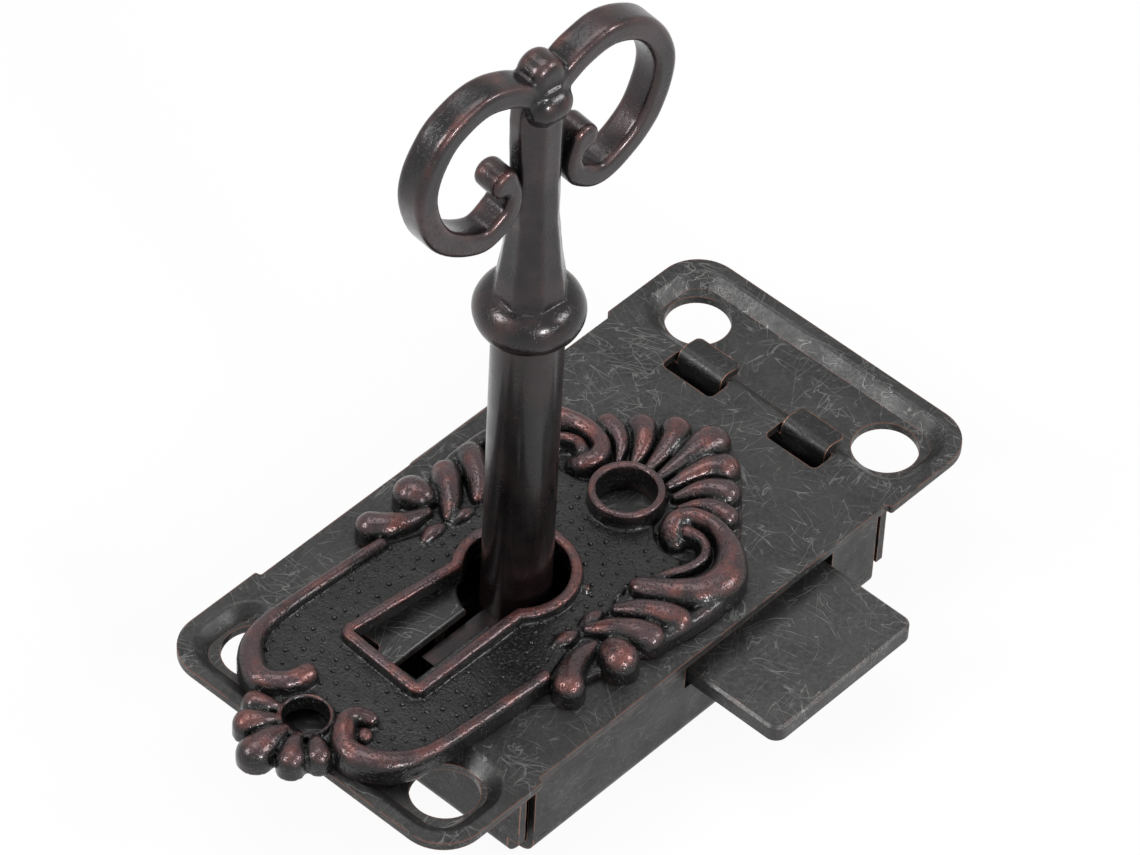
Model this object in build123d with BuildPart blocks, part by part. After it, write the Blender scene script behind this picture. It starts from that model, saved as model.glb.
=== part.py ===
from build123d import *
from math import acos, atan2, cos, hypot, pi, radians, sin, sqrt
import os

os.makedirs("parts", exist_ok=True)

# Frame: origin at the middle of the four screw holes, on the cap plate's door side.
# +X runs along the plate, the bolt is thrown towards -Y, and the key stands along +Z.

# Sheet metal
sheet = 0.8
bend_radius = 1.6
face_gap = 0.02
running_gap = 0.05
loose_gap = 0.3

# Lock case
case_length = 48.0
case_width = 32.4
case_depth = 11.0
end_wall_inset = 0.3
relief_height = 2.4
tab_width = 5.2
tab_spacing = 12.6
tab_overhang = 2.08
tab_droop = 9.0
tab_corner = 0.6
tab_bend_radius = 0.25

# Cap plate
flange_length = 11.1
edge_overhang = 0.6
end_flare = 0.55
flare_start = 1.2
plate_corner = 4.2
rim_width = 1.2
pocket_depth = 1.1
pocket_slope = 50.0
pocket_corner = 3.6
pocket_setback = 0.4
screw_hole_radius = 3.1
screw_hole_end_distance = 6.3
screw_hole_side_distance = 5.95
tab_slot_width = 2.7
tab_slot_length = 6.05
tab_slot_setback = 0.1
pocket_mouth_radius = 0.6
lip_radius = 0.45

# Key position and keyhole in the cap plate
key_setback = 16.2
keyhole_radius = 5.2
bit_slot_width = 2.5
bit_slot_reach = 14.0

# Key
barrel_radius = 3.2
barrel_bore_depth = 14.0
collar_height = 44.0
collar_radius = 4.75
collar_roll = 2.45
neck_root_radius = 3.1
neck_height = 54.9
neck_radius = 2.2
bit_reach = 11.0
bit_thickness = 1.9
bit_height = 7.9
bow_turn = -5.5
bow_height = 64.2
bow_wire = 2.3
bow_depth = 3.1
bow_edge = 0.75
crown_height = 66.9
crown_rise = 3.4
crown_width = 5.4
crown_depth = 4.0
crown_edge = 1.3
finial_radius = 1.75
finial_length = 4.3
bore_gap = 0.1
ward_gap = 0.3

# Drill pin and ward
pin_radius = 1.6
pin_shoulder_radius = 2.8
pin_shoulder = 0.8
pin_tail_radius = 1.3
pin_top_gap = 0.4
ward_radius = 6.6
ward_thickness = 0.8
ward_height = 2.4
ward_foot = 2.4

# Bolt
bolt_width = 18.3
bolt_thickness = 1.95
bolt_throw = 9.7
bolt_setback = 5.2
bolt_top_gap = 1.7
bolt_tail = 2.5
tip_corner = 1.2
tip_chamfer = 0.25
window_gap = 0.6
belly_gap = 0.6
belly_distance = 9.0

# Guide stud
stud_radius = 1.5
stud_pillar_radius = 2.5
stud_tail_radius = 1.2
stud_edge_distance = 3.0
stud_y = 4.0
stud_proud = 0.5

# Bolt spring and its rivet
spring_thickness = 0.35
spring_width = 4.4
spring_foot = 4.6
spring_bow = 12.0
rivet_radius = 0.8
rivet_head_radius = 1.6
rivet_head_height = 0.5

# Escutcheon, laid on a little askew
escutcheon_turn = -3.4
field_height = 1.7
back_recess = 1.0
recess_wall = 1.0
recess_corner = 2.0
recess_near_x = -21.0
recess_far_x = -6.0
rail_offset = 10.55
rail_radius = 0.75
rim_height = 2.7
rim_band = 1.15
escutcheon_hole_radius = 4.7
slot_root_width = 6.4
slot_end_width = 8.0
slot_end_reach = 15.6
pin_hole_far_x = 13.4
pin_hole_far_radius = 2.7
pin_hole_near_x = -25.0
pin_hole_near_radius = 2.0
ring_band = 1.0
ring_height = 3.1
far_lobe_count = 7
far_lobe_reach = 12.6
far_lobe_radius = 1.55
far_lobe_spread = 108
near_lobe_count = 5
near_lobe_reach = 7.5
near_lobe_radius = 1.45
near_lobe_spread = 122
shell_level = 1.4
lobe_shortening = 0.2
leaf_level = 1.4
rail_level = 1.5
scroll_level = 1.9
scroll_radius = 1.0
scroll_belly_radius = 1.4
pocket_x = 12.7
pocket_y = 6.5
pocket_half_length = 1.75
pocket_half_width = 3.1
pocket_floor = 0.6

# Levels worked out from the sizes above
plate_underside = -sheet
case_underside = -case_depth
floor_top = case_underside + sheet
bolt_top = plate_underside - bolt_top_gap
bolt_underside = bolt_top - bolt_thickness
sill = bolt_underside - running_gap
half_case = case_length / 2
half_case_width = case_width / 2
half_plate = half_case + flange_length
plate_length = 2 * half_plate
key_axis_x = key_setback - half_case
bolt_near_edge = key_axis_x + bolt_setback
plate_width = case_width + 2 * edge_overhang
end_width = plate_width + 2 * end_flare
bolt_middle_x = bolt_near_edge + bolt_width / 2
turn_ratio = bolt_throw / (2 * pi)
barrel_end = floor_top + pin_shoulder + running_gap
bit_bottom = barrel_end + face_gap
key_origin = Vector(key_axis_x, 0, 0)
key_axis = Axis(key_origin, (0, 0, 1))
key_plane = Plane(origin=key_origin, x_dir=(1, 0, 0), z_dir=(0, -1, 0))


def save(part, name):
    """Label a finished piece and write it under its own name."""
    part.part.label = name
    export_step(part.part, f"parts/{name}.step")


# Lock case: one blank folded up on four sides, with four tabs crimped over the plate
def channel(width, height, bend):
    """Cross-section of sheet folded up at both sides, standing on its floor."""
    with BuildSketch(mode=Mode.PRIVATE) as section:
        Rectangle(width, height, align=(Align.CENTER, Align.MIN))
        fillet(section.vertices().group_by(Axis.Y)[0], bend)
        with BuildSketch(mode=Mode.PRIVATE) as hollow:
            with Locations((0, sheet)):
                Rectangle(width - 2 * sheet, height, align=(Align.CENTER, Align.MIN))
            fillet(hollow.vertices().group_by(Axis.Y)[0], bend - sheet)
        add(hollow.sketch, mode=Mode.SUBTRACT)
    return section.sketch


wall_height = case_depth - sheet
tab_bend = tab_bend_radius + sheet / 2
tab_line_x = half_case - sheet / 2
tab_turn_z = face_gap + sheet / 2
tab_end_x = half_case + tab_overhang

with BuildPart() as lock_case:
    with BuildSketch(Plane.YZ):
        with Locations((0, case_underside)):
            add(channel(case_width, wall_height, bend_radius))
    extrude(amount=half_case - bend_radius, both=True)
    with BuildSketch(Plane.XZ):
        with Locations((0, case_underside)):
            add(channel(case_length, wall_height, bend_radius))
    extrude(amount=half_case_width - bend_radius, both=True)
    with Locations(Plane.XY.offset(plate_underside)):
        with GridLocations(case_length - sheet, 0, 2, 1):
            Box(sheet, case_width - 2 * end_wall_inset, wall_height - relief_height,
                align=(Align.CENTER, Align.CENTER, Align.MAX))
    for side in (-1, 1):
        with BuildSketch(Plane.XZ.offset(side * tab_spacing / 2)):
            with BuildLine():
                rise = Line((tab_line_x, plate_underside - sheet), (tab_line_x, tab_turn_z - tab_bend))
                turn = CenterArc((tab_line_x + tab_bend, tab_turn_z - tab_bend), tab_bend,
                                 180, -90 - tab_droop)
                PolarLine(turn @ 1, tab_end_x - (turn @ 1).X, -tab_droop)
            trace(line_width=sheet)
        extrude(amount=tab_width / 2, both=True)
    tab_ends = lock_case.edges().filter_by(Axis.Y, reverse=True).group_by(Axis.X)[-1]
    fillet(tab_ends.filter_by(lambda edge: edge.length < 1.2 * sheet), tab_corner)
    mirrored = lock_case.part.mirror(Plane.YZ)
    add(mirrored)
    with Locations((bolt_middle_x, 0, plate_underside)):
        Box(bolt_width + 2 * window_gap, case_width + 2 * sheet, plate_underside - sill,
            align=(Align.CENTER, Align.CENTER, Align.MAX), mode=Mode.SUBTRACT)
    stud_x = bolt_near_edge + bolt_width - stud_edge_distance
    with Locations((key_axis_x, 0, floor_top)):
        Hole(pin_tail_radius + running_gap, depth=2 * sheet)
    with Locations((stud_x, stud_y, floor_top)):
        Hole(stud_tail_radius + face_gap, depth=2 * sheet)
    with Locations((key_axis_x, 0, floor_top)):
        with PolarLocations(ward_radius, 2, start_angle=90):
            Box(ward_thickness + 2 * face_gap, ward_foot + 2 * face_gap, 3 * sheet, mode=Mode.SUBTRACT)
save(lock_case, "lock_case")


# Cap plate: pressed sheet with a sunk screw pocket at each end
pocket_inner = half_case + pocket_setback
pocket_outer = half_plate - rim_width
pocket_length = pocket_outer - pocket_inner
pocket_middle = (pocket_inner + pocket_outer) / 2
pocket_width = end_width - 2 * rim_width
flare_x = half_case - flare_start
screw_x = half_plate - screw_hole_end_distance
screw_y = end_width / 2 - screw_hole_side_distance

with BuildPart() as cap_plate:
    with BuildSketch(Plane.XY.offset(plate_underside)) as plate_outline:
        Rectangle(plate_length, plate_width)
        with GridLocations(half_plate + flare_x, 0, 2, 1):
            Rectangle(half_plate - flare_x, end_width)
        corners = plate_outline.vertices().filter_by(lambda v: abs(v.X) > half_plate - face_gap)
        fillet(corners, plate_corner)
        steps = plate_outline.vertices().filter_by(lambda v: abs(abs(v.X) - flare_x) < face_gap)
        fillet(steps, end_flare / 2 - face_gap)
    extrude(amount=sheet)
    with BuildSketch(Plane.XY.offset(plate_underside)):
        with GridLocations(2 * pocket_middle, 0, 2, 1):
            RectangleRounded(pocket_length, pocket_width, pocket_corner)
    extrude(amount=-pocket_depth, taper=pocket_slope)
    with BuildSketch(Plane.XY):
        with GridLocations(2 * pocket_middle, 0, 2, 1):
            RectangleRounded(pocket_length, pocket_width, pocket_corner)
    extrude(amount=-pocket_depth, taper=pocket_slope, mode=Mode.SUBTRACT)
    fillet(cap_plate.edges(Select.LAST).group_by(Axis.Z)[-1], pocket_mouth_radius)
    with GridLocations(2 * screw_x, 2 * screw_y, 2, 2):
        Hole(screw_hole_radius)
    with BuildSketch(Plane.XY):
        slot_middle = half_case + tab_slot_setback - tab_slot_width / 2
        with GridLocations(2 * slot_middle, tab_spacing, 2, 2):
            RectangleRounded(tab_slot_width, tab_slot_length, tab_corner)
    extrude(amount=-sheet, mode=Mode.SUBTRACT)
    with BuildSketch(Plane.XY) as plate_keyhole:
        with Locations((key_axis_x, 0)):
            Circle(keyhole_radius)
            Rectangle(bit_slot_reach, bit_slot_width, align=(Align.MAX, Align.CENTER))
    extrude(amount=-sheet, mode=Mode.SUBTRACT)
    top_edges = cap_plate.edges().filter_by_position(Axis.Z, -face_gap, face_gap)
    keyhole_span = (key_axis_x - bit_slot_reach - face_gap, key_axis_x + keyhole_radius + face_gap)
    lips = top_edges.filter_by_position(Axis.X, *keyhole_span)
    fillet(lips.filter_by_position(Axis.Y, -bit_slot_width, bit_slot_width), lip_radius)
save(cap_plate, "cap_plate")


# Bolt: flat bar through both side walls, with a belly and talon that the key's bit turns in
def bay_half_width(distance):
    """Half the room that the turning bit needs in the moving bolt, at a distance from the key."""
    corner = hypot(bit_reach, bit_thickness / 2)
    lead = acos(distance / corner) - atan2(bit_thickness / 2, bit_reach)
    return sqrt(corner**2 - distance**2) - turn_ratio * lead + belly_gap


bolt_tip_y = -(plate_width / 2 + bolt_throw)
bolt_tail_y = half_case_width + bolt_tail
belly_half = bay_half_width(bolt_near_edge - key_axis_x)
talon_half = bay_half_width(belly_distance)
talon_root_x = key_axis_x + hypot(bit_reach, bit_thickness / 2) + belly_gap
bay_y = -bolt_throw / 2
spring_x = (talon_root_x + stud_x - stud_radius) / 2
spring_y = -half_case_width + sheet + loose_gap + spring_foot / 2

with BuildPart() as bolt:
    with BuildSketch(Plane.XY.offset(bolt_underside)) as bolt_outline:
        with Locations((bolt_middle_x, (bolt_tip_y + bolt_tail_y) / 2)):
            Rectangle(bolt_width, bolt_tail_y - bolt_tip_y)
        fillet(bolt_outline.vertices(), tip_corner)
        with Locations((bolt_near_edge, bay_y)):
            Rectangle(2 * (key_axis_x + belly_distance - bolt_near_edge), 2 * belly_half,
                      mode=Mode.SUBTRACT)
        with Locations((key_axis_x + belly_distance, bay_y)):
            Rectangle(2 * (talon_root_x - key_axis_x - belly_distance), 2 * talon_half,
                      mode=Mode.SUBTRACT)
        with Locations((stud_x, stud_y - bolt_throw / 2)):
            SlotCenterToCenter(bolt_throw, 2 * (stud_radius + running_gap), rotation=90,
                               mode=Mode.SUBTRACT)
        with Locations((spring_x, spring_y)):
            Circle(rivet_radius + face_gap, mode=Mode.SUBTRACT)
    extrude(amount=bolt_thickness)
    tip_face = bolt.faces().sort_by(Axis.Y)[0]
    chamfer(tip_face.edges().filter_by(Axis.X), tip_chamfer)
save(bolt, "bolt")


# Bolt spring: a bowed leaf on the bolt that rubs the underside of the cap plate
spring_level = bolt_top + spring_thickness / 2
crest_level = plate_underside - running_gap - spring_thickness / 2
foot_start = spring_y - spring_foot / 2
foot_end = spring_y + spring_foot / 2

with BuildPart() as bolt_spring:
    with BuildSketch(Plane.YZ.offset(spring_x)):
        with BuildLine():
            Line((foot_start, spring_level), (foot_end, spring_level))
            Spline((foot_end, spring_level), (foot_end + spring_bow / 2, crest_level),
                   (foot_end + spring_bow, spring_level + running_gap),
                   tangents=((1, 0), (1, 0)))
        trace(line_width=spring_thickness)
    extrude(amount=spring_width / 2, both=True)
    with Locations((spring_x, spring_y, bolt_top)):
        Hole(rivet_radius + face_gap, depth=4 * spring_thickness)
save(bolt_spring, "bolt_spring")

with BuildPart() as spring_rivet:
    with BuildSketch(Plane.XY.offset(bolt_underside)):
        with Locations((spring_x, spring_y)):
            Circle(rivet_radius)
    extrude(amount=bolt_thickness + spring_thickness)
    with BuildSketch(Plane.XY.offset(bolt_top + spring_thickness)):
        with Locations((spring_x, spring_y)):
            Circle(rivet_head_radius)
    extrude(amount=rivet_head_height)
    chamfer(spring_rivet.edges().group_by(Axis.Z)[-1], rivet_head_height / 2)
save(spring_rivet, "spring_rivet")


# Turned posts riveted in the case floor: the bolt's guide stud and the key's drill pin
def turned_post(x, y, steps):
    """Revolve a stepped post from (radius, lower end, upper end) steps about a line at x, y."""
    with BuildPart() as post:
        for radius, low, high in steps:
            with BuildSketch(Plane.XY.offset(low)):
                with Locations((x, y)):
                    Circle(radius)
            extrude(amount=high - low)
        chamfer(post.edges().group_by(Axis.Z)[-1], steps[-1][0] / 3)
    return post


guide_stud = turned_post(stud_x, stud_y, (
    (stud_tail_radius, case_underside, floor_top),
    (stud_pillar_radius, floor_top, sill),
    (stud_radius, sill, bolt_top + stud_proud),
))
save(guide_stud, "guide_stud")

drill_pin = turned_post(key_axis_x, 0, (
    (pin_tail_radius, case_underside, floor_top),
    (pin_shoulder_radius, floor_top, floor_top + pin_shoulder),
    (pin_radius, floor_top + pin_shoulder, plate_underside + pin_top_gap),
))
save(drill_pin, "drill_pin")


# Ward: a thin ring on the floor that only a bit with the matching cut can pass
with BuildPart() as ward_ring:
    with BuildSketch(Plane.XY.offset(floor_top)):
        with Locations((key_axis_x, 0)):
            Circle(ward_radius + ward_thickness / 2)
            Circle(ward_radius - ward_thickness / 2, mode=Mode.SUBTRACT)
    extrude(amount=ward_height)
    with Locations((key_axis_x, 0, floor_top)):
        with PolarLocations(ward_radius, 2, start_angle=90):
            Box(ward_thickness, ward_foot, sheet, align=(Align.CENTER, Align.CENTER, Align.MAX))
save(ward_ring, "ward_ring")


# Key: hollow barrel with a bit, a rolled collar, a waisted neck and a bow of two scrolls
bow_direction = Vector(cos(radians(bow_turn)), sin(radians(bow_turn)), 0)
bow_normal = Vector(sin(radians(bow_turn)), -cos(radians(bow_turn)), 0)
bow_plane = Plane(origin=key_origin + Vector(0, 0, barrel_end + bow_height),
                  x_dir=bow_direction, z_dir=bow_normal)
collar_z = barrel_end + collar_height
neck_z = barrel_end + neck_height
crown_z = barrel_end + crown_height
collar_low = collar_z - sqrt(collar_roll**2 - (barrel_radius - collar_radius + collar_roll)**2)
collar_high = collar_z + sqrt(collar_roll**2 - (neck_root_radius - collar_radius + collar_roll)**2)


def across_key(height):
    """Plane across the key at a height above the cap plate, squared to the bow."""
    return Plane(origin=key_origin + Vector(0, 0, height), x_dir=bow_direction, z_dir=(0, 0, 1))


def bow_scroll(side):
    """Sweep one scroll of the bow: out of the crown, round the ring and in to its curl."""
    course = ((1.2, 5.7), (3.9, 7.1), (7.3, 7.6), (11.1, 5.5), (12.95, 0.8),
              (11.2, -4.7), (7.0, -7.65), (4.3, -6.7), (3.4, -4.7), (4.4, -3.05))
    with BuildPart() as scroll:
        with BuildLine(bow_plane) as centre_line:
            Spline(*[(side * across, along) for across, along in course])
        path = centre_line.line
        with BuildSketch(Plane(origin=path @ 0, x_dir=bow_normal, z_dir=path % 0)):
            RectangleRounded(bow_depth, bow_wire, bow_edge)
        sweep(path=path)
        with BuildSketch(Plane(origin=path @ 1, x_dir=bow_direction, z_dir=bow_normal)):
            Circle(bow_wire / 2)
        extrude(amount=bow_depth / 2 - bow_edge / 2, both=True)
    return scroll.part


bow_scrolls = [bow_scroll(-1), bow_scroll(1)]

with BuildPart() as key:
    with BuildSketch(key_plane):
        with BuildLine():
            Polyline((0, barrel_end), (barrel_radius, barrel_end), (barrel_radius, collar_low))
            ThreePointArc((barrel_radius, collar_low), (collar_radius, collar_z),
                          (neck_root_radius, collar_high))
            Spline((neck_root_radius, collar_high), (neck_radius, neck_z),
                   tangents=((-0.3, 1), (0, 1)))
            Polyline((neck_radius, neck_z), (0, neck_z), (0, barrel_end))
        make_face()
    revolve(axis=key_axis)
    with BuildSketch(across_key(neck_z)):
        Circle(neck_radius)
    with BuildSketch(across_key(crown_z)):
        RectangleRounded(crown_width, crown_depth, crown_edge)
    loft()
    with BuildSketch(across_key(crown_z)):
        RectangleRounded(crown_width, crown_depth, crown_edge)
    extrude(amount=crown_rise)
    with BuildSketch(Plane(origin=key_origin + Vector(0, 0, crown_z + crown_rise),
                           x_dir=bow_direction, z_dir=bow_normal)):
        Circle(finial_radius)
    extrude(amount=finial_length / 2, both=True)
    add(bow_scrolls)
    with Locations((key_axis_x, 0, bit_bottom)):
        Box(bit_reach, bit_thickness, bit_height, align=(Align.MAX, Align.CENTER, Align.MIN))
    with Locations((key_axis_x - ward_radius, 0, bit_bottom)):
        Box(ward_thickness + 2 * ward_gap, 2 * bit_thickness,
            floor_top + ward_height + ward_gap - bit_bottom,
            align=(Align.CENTER, Align.CENTER, Align.MIN), mode=Mode.SUBTRACT)
    with Locations((key_axis_x, 0, barrel_end)):
        Cylinder(pin_radius + bore_gap, barrel_bore_depth,
                 align=(Align.CENTER, Align.CENTER, Align.MIN), mode=Mode.SUBTRACT)
save(key, "key")


# Escutcheon: a hollow-backed casting with raised rails, scrolls and two shells
turn = radians(escutcheon_turn)
face_plane = Plane(origin=key_origin, x_dir=(cos(turn), sin(turn), 0), z_dir=(0, 0, 1))


def on_face(x, y, z):
    """Point of the escutcheon's own frame, centred on its keyhole."""
    return face_plane.from_local_coords(Vector(x, y, z))


def finger(root, tip, root_radius, tip_radius, level):
    """One round-ended, tapering finger of the relief, lying from root to tip."""
    start = on_face(*root, level)
    direction = (on_face(*tip, level) - start).normalized()
    straight = (on_face(*tip, level) - start).length - tip_radius
    side = direction.cross(Vector(0, 0, 1))
    with BuildPart() as relief:
        with BuildSketch(Plane(origin=start, x_dir=direction, z_dir=side)):
            with BuildLine():
                Polyline((straight + tip_radius, 0), (0, 0), (0, root_radius), (straight, tip_radius))
                CenterArc((straight, 0), tip_radius, 0, 90)
            make_face()
        revolve(axis=Axis(start, direction))
    return relief.part


def rope(points, radius, level):
    """A round rail of the relief along a smooth course, with a ball at its inner end."""
    with BuildPart() as relief:
        with BuildLine(face_plane.offset(level)) as course:
            Spline(*points)
        path = course.line
        with BuildSketch(Plane(origin=path @ 0, z_dir=path % 0)):
            Circle(radius)
        sweep(path=path)
        with Locations(path @ 1):
            Sphere(radius * 1.15)
    return relief.part


def fan(centre_x, facing, count, spread, inner, reach, radius):
    """A shell of fingers spread round a pin hole, the middle one the longest."""
    fingers = []
    for index in range(count):
        lean = (index / (count - 1) - 0.5) * spread
        length = reach * (1 - lobe_shortening * abs(2 * lean / spread))
        along = radians(facing + lean)
        root = (centre_x + inner * cos(along), inner * sin(along))
        tip = (centre_x + length * cos(along), length * sin(along))
        fingers.append(finger(root, tip, 0.6 * radius, radius, shell_level))
    return fingers


def both_sides(build, points, *sizes):
    """The same piece of relief on both sides of the escutcheon's long axis."""
    return [build([(x, side * y) for x, y in points], *sizes) for side in (-1, 1)]


def pair_of_fingers(points, root_radius, tip_radius, level):
    """One finger from the first point to the second."""
    return finger(points[0], points[1], root_radius, tip_radius, level)


ornament = fan(pin_hole_far_x, 0, far_lobe_count, far_lobe_spread, pin_hole_far_radius + ring_band / 2,
               far_lobe_reach, far_lobe_radius)
ornament += fan(pin_hole_near_x, 180, near_lobe_count, near_lobe_spread, pin_hole_near_radius + ring_band / 2,
                near_lobe_reach, near_lobe_radius)
ornament += both_sides(rope, ((-6.6, rail_offset), (-14.0, rail_offset), (-20.4, rail_offset), (-24.1, 8.8),
                            (-25.2, 6.9), (-25.3, 4.9), (-24.2, 3.3), (-22.4, 2.9), (-21.4, 4.2)),
                     rail_radius, rail_level)
ornament += both_sides(rope, ((7.0, 8.2), (7.7, 10.2), (10.0, 12.6), (12.6, 13.1), (14.9, 11.9), (16.5, 9.2),
                            (16.4, 6.5), (14.9, 5.0), (13.2, 6.0)), scroll_radius, scroll_level)
ornament += both_sides(pair_of_fingers, ((8.2, 11.0), (13.6, 13.7)), 1.0, scroll_belly_radius, leaf_level)
ornament += both_sides(pair_of_fingers, ((-1.4, 10.8), (-6.4, 13.9)), 0.6, 1.25, leaf_level)
ornament += both_sides(pair_of_fingers, ((0.4, 10.9), (-0.2, 15.1)), 0.7, 1.7, leaf_level)
ornament += both_sides(pair_of_fingers, ((0.0, 9.0), (4.3, 14.5)), 0.5, 1.15, leaf_level)
ornament += both_sides(pair_of_fingers, ((3.6, 8.9), (7.5, 14.6)), 0.5, 1.0, leaf_level)

with BuildPart() as escutcheon:
    with BuildSketch(face_plane) as outline:
        with BuildLine():
            Line((-26.6, 0), (-26.6, 8.0))
            Spline((-26.6, 8.0), (-24.6, 10.4), (-21.0, rail_offset + rail_radius))
            Line((-21.0, rail_offset + rail_radius), (-7.0, rail_offset + rail_radius))
            Spline((-7.0, rail_offset + rail_radius), (0.0, 12.6), (8.0, 14.2), (12.4, 14.4),
                   (16.6, 12.2), (18.8, 9.2))
            Polyline((18.8, 9.2), (23.6, 4.6), (25.0, 0), (-26.6, 0))
        make_face()
        mirror(about=Plane.XZ)
        with Locations((pin_hole_near_x, 0)):
            Circle(pin_hole_near_radius + ring_band)
    extrude(amount=field_height)
    with BuildSketch(face_plane.offset(pocket_floor)):
        with Locations((pocket_x, pocket_y), (pocket_x, -pocket_y)):
            Ellipse(pocket_half_length, pocket_half_width)
    extrude(amount=field_height, mode=Mode.SUBTRACT)
    add(ornament)
    with BuildSketch(face_plane):
        with Locations((pin_hole_far_x, 0)):
            Circle(pin_hole_far_radius + ring_band)
    extrude(amount=ring_height)
    with BuildSketch(face_plane, mode=Mode.PRIVATE) as key_opening:
        with BuildLine():
            Polyline((-1.0, slot_root_width / 2), (-slot_end_reach, slot_end_width / 2),
                     (-slot_end_reach, -slot_end_width / 2), (-1.0, -slot_root_width / 2),
                     close=True)
        make_face()
        Circle(escutcheon_hole_radius)
    with BuildSketch(face_plane):
        add(key_opening.sketch_local)
        offset(amount=rim_band, kind=Kind.ARC)
    extrude(amount=rim_height)
    rim_edges = escutcheon.edges().filter_by_position(Axis.Z, rim_height - face_gap, rim_height + face_gap)
    fillet(rim_edges, rim_band * 0.35)
    split(bisect_by=Plane.XY, keep=Keep.TOP)
    with BuildSketch(face_plane):
        with Locations(((recess_near_x + recess_far_x) / 2, 0)):
            RectangleRounded(recess_far_x - recess_near_x, 2 * (rail_offset + rail_radius - recess_wall),
                             recess_corner)
    extrude(amount=back_recess, mode=Mode.SUBTRACT)
    with BuildSketch(face_plane):
        add(key_opening.sketch_local)
        with Locations((pin_hole_far_x, 0)):
            Circle(pin_hole_far_radius)
        with Locations((pin_hole_near_x, 0)):
            Circle(pin_hole_near_radius)
    extrude(amount=2 * rim_height, mode=Mode.SUBTRACT)
save(escutcheon, "escutcheon")
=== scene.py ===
import math
from itertools import product

import bmesh
import bpy
import numpy as np
from mathutils import Matrix, Vector


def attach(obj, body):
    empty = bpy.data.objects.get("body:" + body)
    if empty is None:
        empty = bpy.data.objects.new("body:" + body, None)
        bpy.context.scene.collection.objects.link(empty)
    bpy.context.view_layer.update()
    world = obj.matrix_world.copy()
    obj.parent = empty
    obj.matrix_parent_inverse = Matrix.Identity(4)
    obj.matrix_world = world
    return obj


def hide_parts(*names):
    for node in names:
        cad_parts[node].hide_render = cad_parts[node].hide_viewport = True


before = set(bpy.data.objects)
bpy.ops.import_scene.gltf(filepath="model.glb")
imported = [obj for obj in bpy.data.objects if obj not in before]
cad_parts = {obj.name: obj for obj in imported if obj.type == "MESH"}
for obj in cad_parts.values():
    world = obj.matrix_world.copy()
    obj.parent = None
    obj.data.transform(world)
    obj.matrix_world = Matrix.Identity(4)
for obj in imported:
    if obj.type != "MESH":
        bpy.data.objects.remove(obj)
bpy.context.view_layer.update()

MM = 0.001

# Places shared with the CAD, in millimetres and degrees: the key's axis and how the two loose pieces lie
KEY_X = -7.8
ESCUTCHEON_TURN = -3.4
BOW_TURN = -5.5

# The floor lies just under the case, and a mirrored casting's grid starts a few steps beyond its middle
FLOOR_Z = -11.05
MARGIN = 2


# Rays cast to find grooves and edges, and the cosines of an edge's bend where wear starts and is full
SHADER_SAMPLES = 6
EDGE_COSINES = (0.985, 0.86)


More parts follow.
